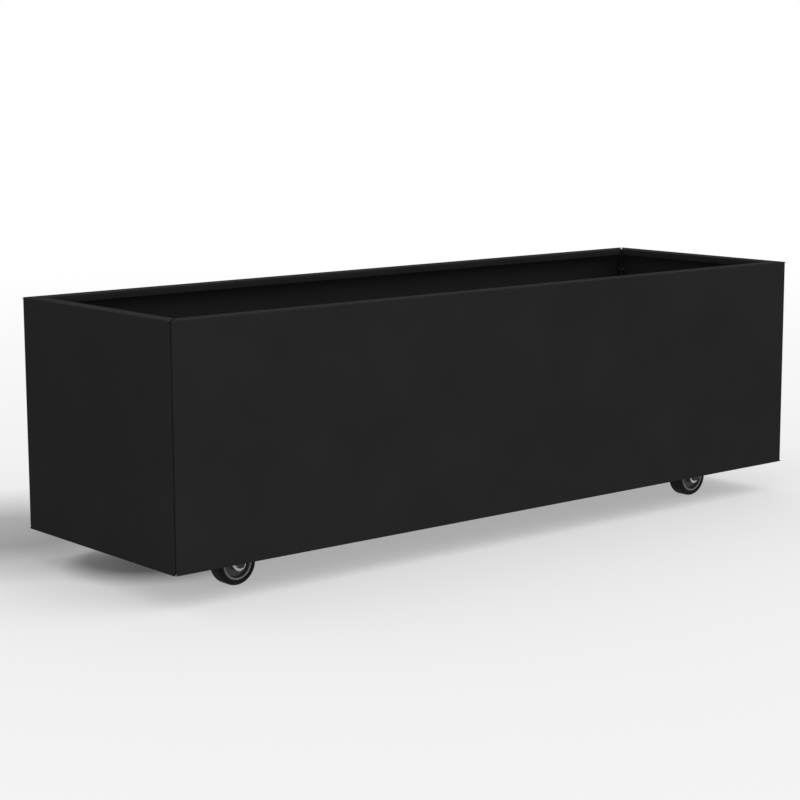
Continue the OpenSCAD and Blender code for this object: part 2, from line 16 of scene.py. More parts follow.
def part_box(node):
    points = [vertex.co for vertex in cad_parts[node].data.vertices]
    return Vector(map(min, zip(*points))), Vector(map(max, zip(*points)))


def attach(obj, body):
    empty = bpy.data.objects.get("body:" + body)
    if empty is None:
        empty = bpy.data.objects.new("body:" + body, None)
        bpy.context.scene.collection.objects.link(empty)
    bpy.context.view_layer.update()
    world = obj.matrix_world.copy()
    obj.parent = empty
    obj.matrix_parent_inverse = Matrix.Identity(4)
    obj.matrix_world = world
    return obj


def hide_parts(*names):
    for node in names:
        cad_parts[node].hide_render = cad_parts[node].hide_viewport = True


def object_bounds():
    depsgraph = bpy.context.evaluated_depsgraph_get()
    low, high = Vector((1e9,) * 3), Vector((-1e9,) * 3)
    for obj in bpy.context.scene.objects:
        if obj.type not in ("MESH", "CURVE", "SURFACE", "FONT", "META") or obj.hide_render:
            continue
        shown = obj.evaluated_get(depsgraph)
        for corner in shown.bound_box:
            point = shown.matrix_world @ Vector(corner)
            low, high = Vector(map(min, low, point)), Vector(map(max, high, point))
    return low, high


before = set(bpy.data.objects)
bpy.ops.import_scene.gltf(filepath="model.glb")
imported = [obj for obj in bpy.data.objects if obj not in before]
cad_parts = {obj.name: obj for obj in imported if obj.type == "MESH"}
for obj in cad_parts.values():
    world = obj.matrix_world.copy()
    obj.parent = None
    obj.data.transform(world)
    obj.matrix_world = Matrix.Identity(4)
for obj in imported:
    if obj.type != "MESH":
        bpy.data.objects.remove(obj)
cad_low, cad_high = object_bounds()

MM = 0.001
TAU = 2 * math.pi
FLIP = Matrix.Diagonal((1, -1, -1, 1))                  # turns +Z to -Z
Z_TO_Y = Matrix.Rotation(math.radians(-90), 4, "X")     # turns +Z to +Y

# ---------------------------------------------------------------- sizes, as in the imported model

# Box
LENGTH = cad_high.x - cad_low.x
WIDTH = cad_high.y - cad_low.y
SKIRT_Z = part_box("front_panel")[0].z                    # lower edge of the skirt
BOX_H = cad_high.z - SKIRT_Z
RIM_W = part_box("front_panel")[1].y - cad_low.y
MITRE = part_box("front_panel")[0].x - cad_low.x          # from the box's end to the panel's end
DECK_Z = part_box("deck")[1].z
SHEET = 1.5 * MM
THICK_SHEET = 3 * MM                                    # rails and brace
FOLD = 2.25 * MM                                        # outside radius of a fold
SEAM = 0.3 * MM                                         # gap between joined sheets
SEAT = 0.1 * MM                                         # gap under a bolt's head or a nut
RIM_LIP = 12 * MM                                       # down from the rim's inner edge
BASE_W = 18 * MM                                        # flange in from the skirt's edge
RELIEF = 1 * MM                                         # cut between a vertical fold and the others

# Corner joints: distances along the diagonal, and the bolts' heights
CORNER_W = 24 * MM                                      # flange above the deck
CORNER_STUB = 4 * MM                                    # flange from the deck down
CORNER_IN = FOLD + math.sqrt(2) * (FOLD + SEAM / 2)     # where a face starts to turn, along it
BOLT_U = (CORNER_IN + FOLD) / math.sqrt(2) + 14 * MM
BOLT_ZS = np.linspace(DECK_Z + 50 * MM, cad_high.z - 46 * MM, 3)

# Screws: radius, width across flats and thread pitch, and the thread that is left past a nut
M5_R, M5_FLATS, M5_PITCH = 2.5 * MM, 8 * MM, 0.8 * MM
M8_R, M8_FLATS, M8_PITCH = 4 * MM, 13 * MM, 1.25 * MM
M5_NUT = 5 * MM
TIP = 2 * MM

# Places of the rivets and studs: from the box's sides or ends, or out from a middle line
RIVET_IN = 10.425 * MM
FIRST_RIVET = 150 * MM
END_RIVET_OUT = 90 * MM
RAIL_RIVET_OUT = 40 * MM
STUD_OUT = 12 * MM

# Caster, about its swivel axis. The front left one trails towards +X, the middle of the box.
PLATE_MID = sum(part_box("front_left_plate"), Vector()) / 2
TYRE_MID = sum(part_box("front_left_tyre"), Vector()) / 2
SWIVEL = Vector((PLATE_MID.x, PLATE_MID.y, 0))
TRAIL = TYRE_MID.x - PLATE_MID.x
WHEEL_R = TYRE_MID.z
PLATE_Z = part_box("front_left_plate")[1].z
PLATE_T = 2.5 * MM
PLATE_BOLT_X, PLATE_BOLT_Y = 37.5 * MM, 22.5 * MM
FORK_T = 2.5 * MM
FORK_HALF = 20.5 * MM                                   # from the middle to a leg's outside
FORK_END_R = 12 * MM
CROWN_Z = 88.5 * MM
CROWN_HALF = 22 * MM
TYRE_HALF = 16 * MM
SEAT_R = 29 * MM                                        # where the tyre sits on the core
# The core's bead is painted light grey, a painted highlight of its raised edge.
BEAD_R, BEAD_HALF = 26.3 * MM, 1.35 * MM                # the core's bead: middle and half width

CASTERS = ("front_left", "front_right", "back_left", "back_right")


# ---------------------------------------------------------------- camera, light and floor

# Camera: from the box's near corner at the skirt, in box lengths, then degrees and millimetres
CAMERA_PLACE = (-1.1772, -1.7881, 0.5372)
AZIMUTH, ELEVATION, ROLL = -39.84, 9.23, -0.21
LENS = 91.8
SENSOR = 36

SOFTBOX_TOWARDS = (-0.39, 0.6, -0.7)
SOFTBOX_POWER = 1.1
SOFTBOX_ANGLE = 50

FLOOR_REACH = 40
FLOOR_GREY = (0.42, 0.42, 0.42, 1)
# The floor glows with painted light: its own light near the box lifts its shadows, and more is
# added far away.
FLOOR_LIGHT = 0.38                      # the floor's own light near the box
FAR_LIGHT = (1.3, 5.0, 0.0, 0.1)        # between these distances, light is added from none to 0.1
# Painted shadows: the floor's own light is cut where the shadow is deepest, behind the back left
# corner and under the left end. Each row is a place on the floor, the distances from it where the
# floor's own light starts and ends to grow, and its least light.
PAINTED_SHADOWS = (((-0.65, 0.45, 0), 0.12, 0.4, 0.0), ((-0.56, 0.12, 0), 0.1, 0.2, 0.06))


def new_object(name, data):
    """A new object in the scene."""
    made = bpy.data.objects.new(name, data)
    bpy.context.scene.collection.objects.link(made)
    return made


def aim_camera():
    """The photograph's view, from the box's seven corners that it shows."""
    near_corner = Vector((cad_low.x, cad_low.y, SKIRT_Z))
    place = near_corner + LENGTH * Vector(CAMERA_PLACE)
    azimuth, elevation, roll = (math.radians(a) for a in (AZIMUTH, ELEVATION, ROLL))
    back = Vector((math.sin(azimuth) * math.cos(elevation),
                   -math.cos(azimuth) * math.cos(elevation), math.sin(elevation)))
    level = Vector((math.cos(azimuth), math.sin(azimuth), 0))
    upright = back.cross(level)
    right = math.cos(roll) * level + math.sin(roll) * upright
    up = math.cos(roll) * upright - math.sin(roll) * level
    data = bpy.data.cameras.new("camera")
    data.lens = LENS
    data.sensor_width = SENSOR
    data.clip_end = 2 * FLOOR_REACH
    camera = new_object("camera", data)
    turn = Matrix((right, up, back)).transposed().to_4x4()
    camera.matrix_world = Matrix.Translation(place) @ turn
    bpy.context.scene.camera = camera


class Nodes:
    """Adds shader nodes to a tree. A socket takes a value or another node's output, and the call
    gives the new node's outputs."""

    def __init__(self, tree):
        self.tree = tree

    def __call__(self, kind, sockets=None, **settings):
        made = self.tree.nodes.new(kind if kind.startswith("NodeGroup") else "ShaderNode" + kind)
        for name, value in settings.items():
            setattr(made, name, value)
        for name, value in (sockets or {}).items():
            if isinstance(value, bpy.types.NodeSocket):
                self.tree.links.new(value, made.inputs[name])
            else:
                made.inputs[name].default_value = value
        return made.outputs

    def math(self, operation, a, b):
        return self("Math", {0: a, 1: b}, operation=operation)[0]

    def blend(self, factor, a, b):
        """Mixes colour a into colour b by factor."""
        return self("Mix", {0: factor, 6: a, 7: b}, data_type="RGBA")[2]

    def ramp(self, value, low, high, start=0.0, end=1.0):
        """Goes from start to end while value goes from low to high, and stays there outside."""
        return self("MapRange", {"Value": value, 1: low, 2: high, 3: start, 4: end})[0]

    def group(self, name, **values):
        """Uses a shared effect, with these values on its inputs."""
        made = self.tree.nodes.new("ShaderNodeGroup")
        made.node_tree = bpy.data.node_groups[name]
        for label, value in values.items():
            made.inputs[label].default_value = value
        return made.outputs


def new_material(name):
    """A new material with an empty tree, and the adder of its nodes."""
    material = bpy.data.materials.new(name)
    material.use_nodes = True
    material.node_tree.nodes.clear()
    return material, Nodes(material.node_tree)


def studio():
    """White all round, and a wide softbox above, in front to the right."""
    world = bpy.data.worlds.new("studio")
    bpy.context.scene.world = world
    world.use_nodes = True
    world.node_tree.nodes.clear()
    add = Nodes(world.node_tree)
    white = add("Background", {"Color": (1, 1, 1, 1), "Strength": 1.0})[0]
    add("OutputWorld", {"Surface": white})

    data = bpy.data.lights.new("softbox", "SUN")
    data.energy = SOFTBOX_POWER
    data.angle = math.radians(SOFTBOX_ANGLE)
    softbox = new_object("softbox", data)
    softbox.rotation_euler = Vector(SOFTBOX_TOWARDS).to_track_quat("-Z", "Y").to_euler()
    bpy.context.scene.view_settings.view_transform = "Standard"


def floor():
    """A pale floor with a little painted light of its own, so that its shadows stay soft and its
    far edge meets the white. Its own light is weaker at painted shadows, in the deepest shade."""
    mesh = bpy.data.meshes.new("studio_floor")
    mesh.from_pydata([(x * FLOOR_REACH, y * FLOOR_REACH, 0)
                      for x, y in ((-1, -1), (1, -1), (1, 1), (-1, 1))], [], [(0, 1, 2, 3)])
    ground = new_object("studio_floor", mesh)
    paper, add = new_material("paper_floor")
    place = add("TexCoord")["Object"]
    own = FLOOR_LIGHT
    # Each place paints a shadow by cutting the floor's own light.
    for spot, start, end, least in PAINTED_SHADOWS:
        gap = add("VectorMath", {0: place, 1: spot}, operation="DISTANCE")["Value"]
        own = add.math("MINIMUM", own, add.ramp(gap, start, end, least, FLOOR_LIGHT))
    away = add("VectorMath", {0: place}, operation="LENGTH")["Value"]
    far = add.ramp(away, *FAR_LIGHT)
    matt = add("BsdfDiffuse", {"Color": FLOOR_GREY})[0]
    glow = add("Emission", {"Strength": add.math("ADD", own, far)})[0]
    add("OutputMaterial", {"Surface": add("AddShader", {0: matt, 1: glow})[0]})
    mesh.materials.append(paper)


# ---------------------------------------------------------------- finishes

RUB_REACH = 0.8 * MM


def effect(name, inputs, outputs):
    """A new shader node group. inputs gives each value's default by its name, and outputs each
    result's kind. Gives the group's adder, its inputs, and the function that closes it with its
    results."""
    tree = bpy.data.node_groups.new(name, "ShaderNodeTree")
    for label, value in inputs.items():
        socket = tree.interface.new_socket(label, in_out="INPUT", socket_type="NodeSocketFloat")
        socket.default_value = value
    for label, kind in outputs.items():
        tree.interface.new_socket(label, in_out="OUTPUT", socket_type="NodeSocket" + kind)
    add = Nodes(tree)
    return add, add("NodeGroupInput"), lambda results: add("NodeGroupOutput", results)


def make_effects():
    """The effects that the finishes share, each a group that gives a value, a mask or a normal."""
    add, given, close = effect("mottling", {"Size": 0.05, "Seed": 0.0},
                               {"Cloud": "Float", "Grain": "Float"})
    place = add("TexCoord")["Object"]
    scale = add.math("DIVIDE", 1.0, given["Size"])
    cloud = add("TexNoise", {"Vector": place, "W": given["Seed"], "Scale": scale, "Detail": 3.0,
                             "Roughness": 0.55}, noise_dimensions="4D")[0]
    grain = add("TexNoise", {"Vector": place, "W": given["Seed"],
                             "Scale": add.math("MULTIPLY", scale, 22.0), "Detail": 2.0},
                noise_dimensions="4D")[0]
    close({"Cloud": add.ramp(cloud, 0.32, 0.68), "Grain": add.ramp(grain, 0.3, 0.7)})

    add, given, close = effect("fine_relief", {"Size": 0.003, "Depth": 0.00002},
                               {"Normal": "Vector"})
    place = add("TexCoord")["Object"]
    bumps = add("TexNoise", {"Vector": place, "Scale": add.math("DIVIDE", 1.0, given["Size"]),
                             "Detail": 2.0, "Roughness": 0.4})[0]
    close({"Normal": add("Bump", {"Height": bumps, "Distance": given["Depth"],
                                  "Strength": 1.0})[0]})

    add, given, close = effect("settled_dust", {"Amount": 0.1}, {"Mask": "Float"})
    place = add("TexCoord")["Object"]
    upward = add("SeparateXYZ", {0: add("NewGeometry")["Normal"]})["Z"]
    flat = add.ramp(upward, 0.55, 1.0)
    drift = add("TexNoise", {"Vector": place, "Scale": 9.0, "Detail": 5.0, "Roughness": 0.65})[0]
    specks = add("TexNoise", {"Vector": place, "Scale": 420.0, "Detail": 1.0})[0]
    heavy = add.ramp(add.math("MULTIPLY", drift, specks), 0.12, 0.5)
    close({"Mask": add.math("MULTIPLY", add.math("MULTIPLY", flat, heavy), given["Amount"])})

    add, given, close = effect("edge_rub", {"Reach": 0.0015}, {"Mask": "Float"})
    place = add("TexCoord")["Object"]
    rounded = add("Bevel", {"Radius": given["Reach"]}, samples=4)[0]
    turn = add("VectorMath", {0: rounded, 1: add("NewGeometry")["Normal"]},
               operation="DOT_PRODUCT")["Value"]
    edge = add.ramp(turn, 0.995, 0.9)
    broken = add("TexNoise", {"Vector": place, "Scale": 160.0, "Detail": 4.0,
                              "Roughness": 0.7})[0]
    close({"Mask": add.math("MULTIPLY", edge, add.ramp(broken, 0.42, 0.62))})


def grey(value, warm=0.0):
    """A grey of this brightness, with warm as the share that moves from blue to red."""
    return (value * (1 + warm), value, value * (1 - warm), 1)


def finish(name, dark, light, rough, mottle, relief, metal=0.0, specular=0.5, rough_spread=0.08,
           dust=0.0, rub=None, painted_highlight=None, painted_glow=0.0, seed=0.0):
    """A finish: its colour drifts from dark to light over patches of mottle metres, and its
    roughness varies over finer ones, with fine relief (size, depth). dust settles on what faces
    up, rub is the colour of rubbed edges, painted_highlight the colour of a painted highlight where
    the mesh's mark is 1, and painted_glow a faint painted glow, the finish's own light, that keeps
    deep shade from black."""
    material, add = new_material(name)
    drift = add.group("mottling", Size=mottle, Seed=seed)
    colour = add.blend(drift["Cloud"], dark, light)
    # A painted highlight: where the mesh's mark is 1, the colour turns lighter.
    if painted_highlight:
        highlight_mark = add("Attribute", attribute_name="highlight_mark")["Fac"]
        colour = add.blend(highlight_mark, colour, painted_highlight)
    if rub:
        colour = add.blend(add.group("edge_rub", Reach=RUB_REACH)["Mask"], colour, rub)
    if dust:
        colour = add.blend(add.group("settled_dust", Amount=dust)["Mask"], colour, grey(0.3, 0.06))
    uneven = add.ramp(drift["Grain"], 0.0, 1.0, rough - rough_spread, rough + rough_spread)
    size, depth = relief
    normal = add.group("fine_relief", Size=size, Depth=depth)["Normal"]
    # A faint painted glow: the finish's own light, which keeps deep shade from black.
    shader = add("BsdfPrincipled", {
        "Base Color": colour, "Roughness": uneven, "Metallic": metal, "Normal": normal,
        "Specular IOR Level": specular, "Emission Color": (1, 1, 1, 1),
        "Emission Strength": painted_glow})[0]
    add("OutputMaterial", {"Surface": shader})
    return material


# ---------------------------------------------------------------- surfaces

HEX_POINTS = 48         # round a hexagon, a multiple of 6
CHAMFER_START = 0.95    # radius where a hexagon's chamfer starts, as a share of half its flats
TAN_30 = math.tan(math.radians(30))


def arc(cx, cy, radius, start, end, steps=8):
    """Points of a circle: (cx, cy) + radius (cos a, sin a), with a from start to end degrees."""
    a = np.radians(np.linspace(start, end, steps + 1))
    return np.stack([cx + radius * np.cos(a), cy + radius * np.sin(a)], 1)


def grid_faces(rows, columns, keep=None, closed=False):
    """Quads of a grid of points, row after row. closed joins the last column to the first, and
    keep is a mask of the quads that stay."""
    r, c = np.meshgrid(np.arange(rows - 1), np.arange(columns if closed else columns - 1),
                       indexing="ij")
    after = (c + 1) % columns
    quads = np.stack([r * columns + c, r * columns + after, (r + 1) * columns + after,
                      (r + 1) * columns + c], -1)
    return quads.reshape(-1, 4) if keep is None else quads[keep]


def joined(*parts):
    """One (points, faces) pair from several: the points in a row, and each part's faces counted
    on."""
    starts = np.cumsum([0] + [len(points) for points, _ in parts])
    return (np.concatenate([points for points, _ in parts]),
            np.concatenate([faces + start for (_, faces), start in zip(parts, starts)]))


def placed(part, matrices):
    """Copies of a (points, faces) pair, one for each 4x4 matrix M: every point p becomes M p."""
    points, faces = part
    ones = np.concatenate([points, np.ones((len(points), 1))], 1)
    return joined(*[((ones @ np.array(m).T)[:, :3], faces) for m in matrices])


def lathe(profile, segments=48):
    """A surface of revolution about Z: the profile's (r, z) at angle t is (r cos t, r sin t, z)."""
    t = np.arange(segments) * TAU / segments
    r, z = np.asarray(profile, float).T
    points = np.stack([np.outer(r, np.cos(t)), np.outer(r, np.sin(t)),
                       np.repeat(z[:, None], segments, 1)], -1)
    return points.reshape(-1, 3), grid_faces(len(r), segments, closed=True)


def hexagon(across, low, high, bore=0.0, both=False):
    """A hexagon about Z with a chamfered top, and a chamfered underside for both. At angle t its
    side is at r = (across / 2) / cos(t mod 60 - 30), and the 30 degree chamfer lowers the side's
    edge by (r - 0.95 across / 2) tan 30."""
    t = np.arange(HEX_POINTS) * TAU / HEX_POINTS
    side = across / 2 / np.cos(t % (TAU / 6) - TAU / 12)
    start = CHAMFER_START * across / 2
    drop = (side - start) * TAN_30
    flat = np.ones_like(t)
    lead = 0.5 * MM if bore else 0.0
    rows = [(bore * flat, low + lead), ((bore + lead) * flat, low), (start * flat, low),
            (side, low + drop if both else low), (side, high - drop), (start * flat, high),
            ((bore + lead) * flat, high), (bore * flat, high - lead), (bore * flat, low + lead)]
    points = np.stack([np.stack([r * np.cos(t), r * np.sin(t), z * flat], 1) for r, z in rows])
    return points.reshape(-1, 3), grid_faces(len(rows), HEX_POINTS, closed=True)


def threaded(radius, low, start, high, pitch):
    """Lathe profile of a shank from low to high: plain up to start, then thread crests and roots
    by turns, half a pitch apart, and a chamfered end."""
    count = int((high - start) / pitch * 2)
    z = np.linspace(start, high - 0.5 * pitch, count)
    r = radius - 0.6 * pitch * (np.arange(count) % 2)
    return np.concatenate([[(0, low), (radius, low)], np.stack([r, z], 1),
                           [(radius - 0.7 * pitch, high), (0, high)]])


def dome(radius, height):
    """Lathe profile of a domed head on z = 0, from its rim to its top: a circle's arc through
    both, of radius (radius^2 + height^2) / (2 height)."""
    ball = (radius * radius + height * height) / (2 * height)
    rim = math.degrees(math.asin((height - ball) / ball))
    return arc(0, height - ball, ball, rim, 90)


def piece(name, part, material, body, nodes=(), slot=None, sheet=0.0, bevel=0.0, sharp=25,
          highlight_marks=None):
    """Makes a (points, faces) pair into one piece. sheet gives an open surface that thickness on
    its inner side, bevel rounds its sharp edges, and edges over sharp degrees stay crisp.
    highlight_marks gives each point's mark, where a highlight is painted, from all the points."""
    points, faces = part
    mesh = bpy.data.meshes.new(name)
    mesh.from_pydata(points.tolist(), [], faces.tolist())
    # Each point's mark, where a highlight is painted.
    if highlight_marks is not None:
        highlight_mark = mesh.attributes.new("highlight_mark", "FLOAT", "POINT")
        highlight_mark.data.foreach_set("value", highlight_marks(points).astype(np.float32))
    work = bmesh.new()
    work.from_mesh(mesh)
    bmesh.ops.remove_doubles(work, verts=work.verts, dist=1e-6)
    bmesh.ops.dissolve_degenerate(work, edges=work.edges, dist=1e-7)
    bmesh.ops.recalc_face_normals(work, faces=work.faces)
    middle = Vector(points.mean(0))
    outward = sum(f.calc_area() * f.normal.dot(f.calc_center_median() - middle)
                  for f in work.faces)
    if outward < 0:
        bmesh.ops.reverse_faces(work, faces=work.faces)
    work.to_mesh(mesh)
    work.free()
    maker = new_object(name, mesh)
    if sheet:
        wall = maker.modifiers.new("sheet", "SOLIDIFY")
        wall.thickness = sheet
        wall.offset = -1
        wall.use_even_offset = True
    if bevel:
        edge = maker.modifiers.new("edges", "BEVEL")
        edge.width = bevel
        edge.segments = 2
        edge.limit_method = "ANGLE"
        edge.angle_limit = math.radians(50)
    if sheet or bevel:
        shaped = maker.evaluated_get(bpy.context.evaluated_depsgraph_get())
        made = bpy.data.meshes.new_from_object(shaped)
        maker.modifiers.clear()
        maker.data = made
    maker.data.materials.clear()
    maker.data.materials.append(material)
    maker.data.shade_smooth()
    maker.data.set_sharp_from_angle(angle=math.radians(sharp))
    settle(maker, body, nodes)
    return maker


def settle(maker, body, nodes):
    """Hangs a piece on the body that it rides on, and hides the nodes that it stands for."""
    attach(maker, body)
    if nodes:
        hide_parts(*nodes)


def mirrored(maker, name, sx, sy, body, nodes):
    """A copy of a piece with x times sx and y times sy. One mirror turns its faces inside out, so
    they are turned back."""
    mesh = maker.data.copy()
    mesh.transform(Matrix.Diagonal((sx, sy, 1, 1)))
    if sx * sy < 0:
        mesh.flip_normals()
    settle(new_object(name, mesh), body, nodes)


# ---------------------------------------------------------------- folded panels

def folded_panel(length):
    """Outside surface of one folded panel, with its face on y = 0 and its inside towards +Y.

    The main grid runs along one (y, z) profile, from the lip over the rim and down the face to
    the skirt flange, and along columns x = s (length / 2 - MITRE - y), which keeps both ends on
    the mitre. The face itself leaves out the two end columns. At each end a second grid carries
    the face round the vertical fold and along the diagonal, x and y both growing by u / sqrt 2.
    """
    near = 0.4 * MM                         # a second row this close to a fold keeps it crisp
    top = BOX_H - FOLD
    low = FOLD + RELIEF
    step_z = DECK_Z - SKIRT_Z + SHEET       # where the diagonal flange gets its full width
    face_rows = np.linspace(BOX_H - low - 8 * MM, step_z + near, 9)
    face_z = np.concatenate([[top, top - near, BOX_H - low], face_rows,
                             [step_z, step_z - near, low, FOLD + near, FOLD]])
    rim = np.concatenate([[(RIM_W, BOX_H - RIM_LIP), (RIM_W, top - near)],
                          arc(RIM_W - FOLD, top, FOLD, 0, 90),
                          [(RIM_W - FOLD - near, BOX_H), (FOLD + near, BOX_H)],
                          arc(FOLD, top, FOLD, 90, 180)[:-1]])
    skirt = np.concatenate([arc(FOLD, FOLD, FOLD, 180, 270)[1:], [(FOLD + near, 0), (BASE_W, 0)]])
    profile = np.concatenate([rim, np.stack([0 * face_z, face_z], 1), skirt])
    y, z = profile.T
    reach = length / 2 - MITRE
    face_end = (length / 2 - CORNER_IN) / reach
    inner_end = face_end - 4 * MM / reach
    s = np.concatenate([[-1, -face_end, -face_end + near / reach],
                        np.linspace(-inner_end, inner_end, 25),
                        [face_end - near / reach, face_end, 1]])
    points = np.stack([np.outer(reach - y, s), np.repeat(y[:, None], len(s), 1),
                       np.repeat(z[:, None], len(s), 1)], -1)
    keep = np.ones((len(y) - 1, len(s) - 1), bool)
    on_face = slice(len(rim), len(rim) + len(face_z) - 1)
    keep[on_face, 0] = keep[on_face, -1] = False
    main = points.reshape(-1, 3), grid_faces(len(y), len(s), keep)

    u = np.array([near, CORNER_STUB, CORNER_STUB + near, CORNER_W / 2, CORNER_W]) / math.sqrt(2)
    bend = arc(CORNER_IN, FOLD, FOLD, 270, 135, 12)
    outline = np.concatenate([bend, bend[-1] + np.stack([u, u], 1)])
    wing_z = face_z[(face_z <= BOX_H - low + near / 2) & (face_z >= low - near / 2)]
    wing = np.stack([np.repeat(outline[None, :, 0] - length / 2, len(wing_z), 0),
                     np.repeat(outline[None, :, 1], len(wing_z), 0),
                     np.repeat(wing_z[:, None], len(outline), 1)], -1).reshape(-1, 3)
    held = np.ones((len(wing_z) - 1, len(outline) - 1), bool)
    past_stub = slice(-3, None)
    held[wing_z[1:] < step_z - near / 2, past_stub] = False
    wing_faces = grid_faces(len(wing_z), len(outline), held)
    return joined(main, (wing, wing_faces), (wing * (-1, 1, 1), wing_faces))


def make_panels(coat):
    """The four folded panels. The back and right ones are the front and left ones turned half
    round."""
    for front, back, length, depth, turn in (("front_panel", "back_panel", LENGTH, WIDTH, 0),
                                             ("left_panel", "right_panel", WIDTH, LENGTH, -90)):
        stand = (Matrix.Rotation(math.radians(turn), 4, "Z")
                 @ Matrix.Translation((0, -depth / 2, SKIRT_Z)))
        first = piece(front + "_sheet", placed(folded_panel(length), [stand]), coat, "planter",
                      (front,), "powder_coat", sheet=SHEET, bevel=0.2 * MM, sharp=50)
        mirrored(first, back + "_sheet", -1, -1, "planter", (back,))


# ---------------------------------------------------------------- fasteners

def spots(places, z, flip=False):
    """Matrices that stand a fastener at each (x, y) and this z, upside down if flip."""
    return [Matrix.Translation((x, y, z)) @ (FLIP if flip else Matrix()) for x, y in places]


def fasten(name, part, material, node, slot):
    """A piece of fasteners on the box, which stands for one node."""
    piece(name, part, material, "planter", (node,), slot)


def blind_rivet(stack):
    """Lathe profile of a set rivet through a stack of sheets on z = 0: its domed head below, and
    above it the formed end with the snapped pin's hole, in shank radii and millimetres."""
    shank, head_r, head_h = 2.4 * MM, 4.8 * MM, 1.4 * MM
    formed = np.array([(1.5, 0), (1.58, 0.5), (1.5, 1.3), (1.25, 2.3), (1.05, 2.6), (0.5, 2.6),
                       (0.42, 2.1), (0, 2.1)]) * (shank, MM) + (0, stack)
    return np.concatenate([dome(head_r, head_h)[::-1] * (1, -1), [(shank, 0), (shank, stack)],
                           formed])


def make_corner_bolts(oxide):
    """Hexagon bolts and nuts through the diagonal flanges, three at each corner."""
    half = SHEET + SEAM / 2 + SEAT          # from the middle of a joint to a head or nut
    head_h = 3.5 * MM
    corners = [Matrix.Diagonal((sx, sy, 1, 1)) @ Matrix.Translation((cad_low.x, cad_low.y, z))
               @ Matrix.Rotation(math.radians(45), 4, "Z") @ Matrix.Translation((BOLT_U, 0, 0))
               @ Z_TO_Y
               for sx in (1, -1) for sy in (1, -1) for z in BOLT_ZS]
    head = placed(hexagon(M5_FLATS, 0, head_h), [Matrix.Translation((0, 0, -half)) @ FLIP])
    nut_high = half + M5_NUT
    shank = lathe(threaded(M5_R, -half, nut_high - M5_PITCH, nut_high + TIP, M5_PITCH), 36)
    fasten("corner_hex_bolts", placed(joined(head, shank), corners), oxide, "corner_bolts",
           "black_oxide")
    fasten("corner_hex_nuts", placed(hexagon(M5_FLATS, half, nut_high, M5_R, True), corners),
           oxide, "corner_nuts", "black_oxide")


def make_brace_studs(zinc):
    """Studs welded to the long sides, with the nuts that hold the brace."""
    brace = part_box("brace_nuts")
    stud_z = (brace[0].z + brace[1].z) / 2
    studs = [Matrix.Diagonal((1, sy, 1, 1)) @ Matrix.Translation((x, cad_low.y + SHEET, stud_z))
             @ Z_TO_Y
             for sy in (1, -1) for x in (-STUD_OUT, STUD_OUT)]
    under = THICK_SHEET + SEAM
    shank = lathe(threaded(M5_R, 0, under, under + M5_NUT + TIP, M5_PITCH), 36)
    nut = hexagon(M5_FLATS, under + SEAT, under + SEAT + M5_NUT, M5_R, True)
    fasten("brace_weld_studs", placed(shank, studs), zinc, "brace_studs", "zinc_plate")
    fasten("brace_hex_nuts", placed(nut, studs), zinc, "brace_nuts", "zinc_plate")


def make_rivets(zinc):
    """Rivets of the ledges, through the skirt's flange below and the deck above, and rivets that
    hold the rails under the deck."""
    long_x = np.linspace(cad_low.x + FIRST_RIVET, cad_high.x - FIRST_RIVET, 5)
    places = [(x, y) for y in (cad_low.y + RIVET_IN, cad_high.y - RIVET_IN) for x in long_x]
    places += [(x, y) for y in (-END_RIVET_OUT, END_RIVET_OUT)
               for x in (cad_low.x + RIVET_IN, cad_high.x - RIVET_IN)]
    foot = placed(lathe(blind_rivet(2 * SHEET + SEAM), 32), spots(places, SKIRT_Z))
    top = placed(lathe(blind_rivet(2 * SHEET), 32), spots(places, DECK_Z, flip=True))
    fasten("ledge_blind_rivets", joined(foot, top), zinc, "deck_rivets", "zinc_plate")

    rail_x = (-RAIL_RIVET_OUT, RAIL_RIVET_OUT)
    places = [(x, y) for y in (-WIDTH / 4, WIDTH / 4) for x in rail_x]
    places += [(middle + x, 0) for middle in (SWIVEL.x, -SWIVEL.x) for x in rail_x]
    rails = placed(lathe(blind_rivet(THICK_SHEET + SHEET), 32), spots(places, PLATE_Z))
    fasten("rail_blind_rivets", rails, zinc, "rail_rivets", "zinc_plate")


def make_plate_bolts(zinc):
    """Round-headed bolts that hang the caster plates under the rails, with washers and nuts."""
    xs = [s * (abs(SWIVEL.x) + dx) for s in (-1, 1) for dx in (-PLATE_BOLT_X, PLATE_BOLT_X)]
    ys = [s * (abs(SWIVEL.y) + dy) for s in (-1, 1) for dy in (-PLATE_BOLT_Y, PLATE_BOLT_Y)]
    hung = spots([(x, y) for y in ys for x in xs], PLATE_Z, flip=True)
    stack = THICK_SHEET + SHEET + SEAT      # from the plate's top up to under the head
    washer_t, nut_h, head_h = 1.6 * MM, 6.5 * MM, 4 * MM
    washer_low = PLATE_T + SEAT
    nut_low = washer_low + washer_t + SEAT
    nut_high = nut_low + nut_h
    head = dome(2 * M8_R, head_h)[::-1] * (1, -1) + (0, -stack)
    shank = threaded(M8_R, -stack, nut_high - M8_PITCH, nut_high + TIP, M8_PITCH)[1:]
    bolt = lathe(np.concatenate([head, shank]), 40)
    ring = np.array([(4.3, 0), (7.8, 0), (8, 0.2), (8, 1.4), (7.8, 1.6), (4.3, 1.6),
                     (4.3, 0)]) * MM
    washer = lathe(ring + (0, washer_low), 40)
    nut = hexagon(M8_FLATS, nut_low, nut_high, M8_R, True)
    fasten("plate_round_head_bolts", placed(bolt, hung), zinc, "caster_bolts", "zinc_plate")
    fasten("plate_washers", placed(washer, hung), zinc, "caster_washers", "zinc_plate")
    fasten("plate_hex_nuts", placed(nut, hung), zinc, "caster_nuts", "zinc_plate")


# ---------------------------------------------------------------- casters

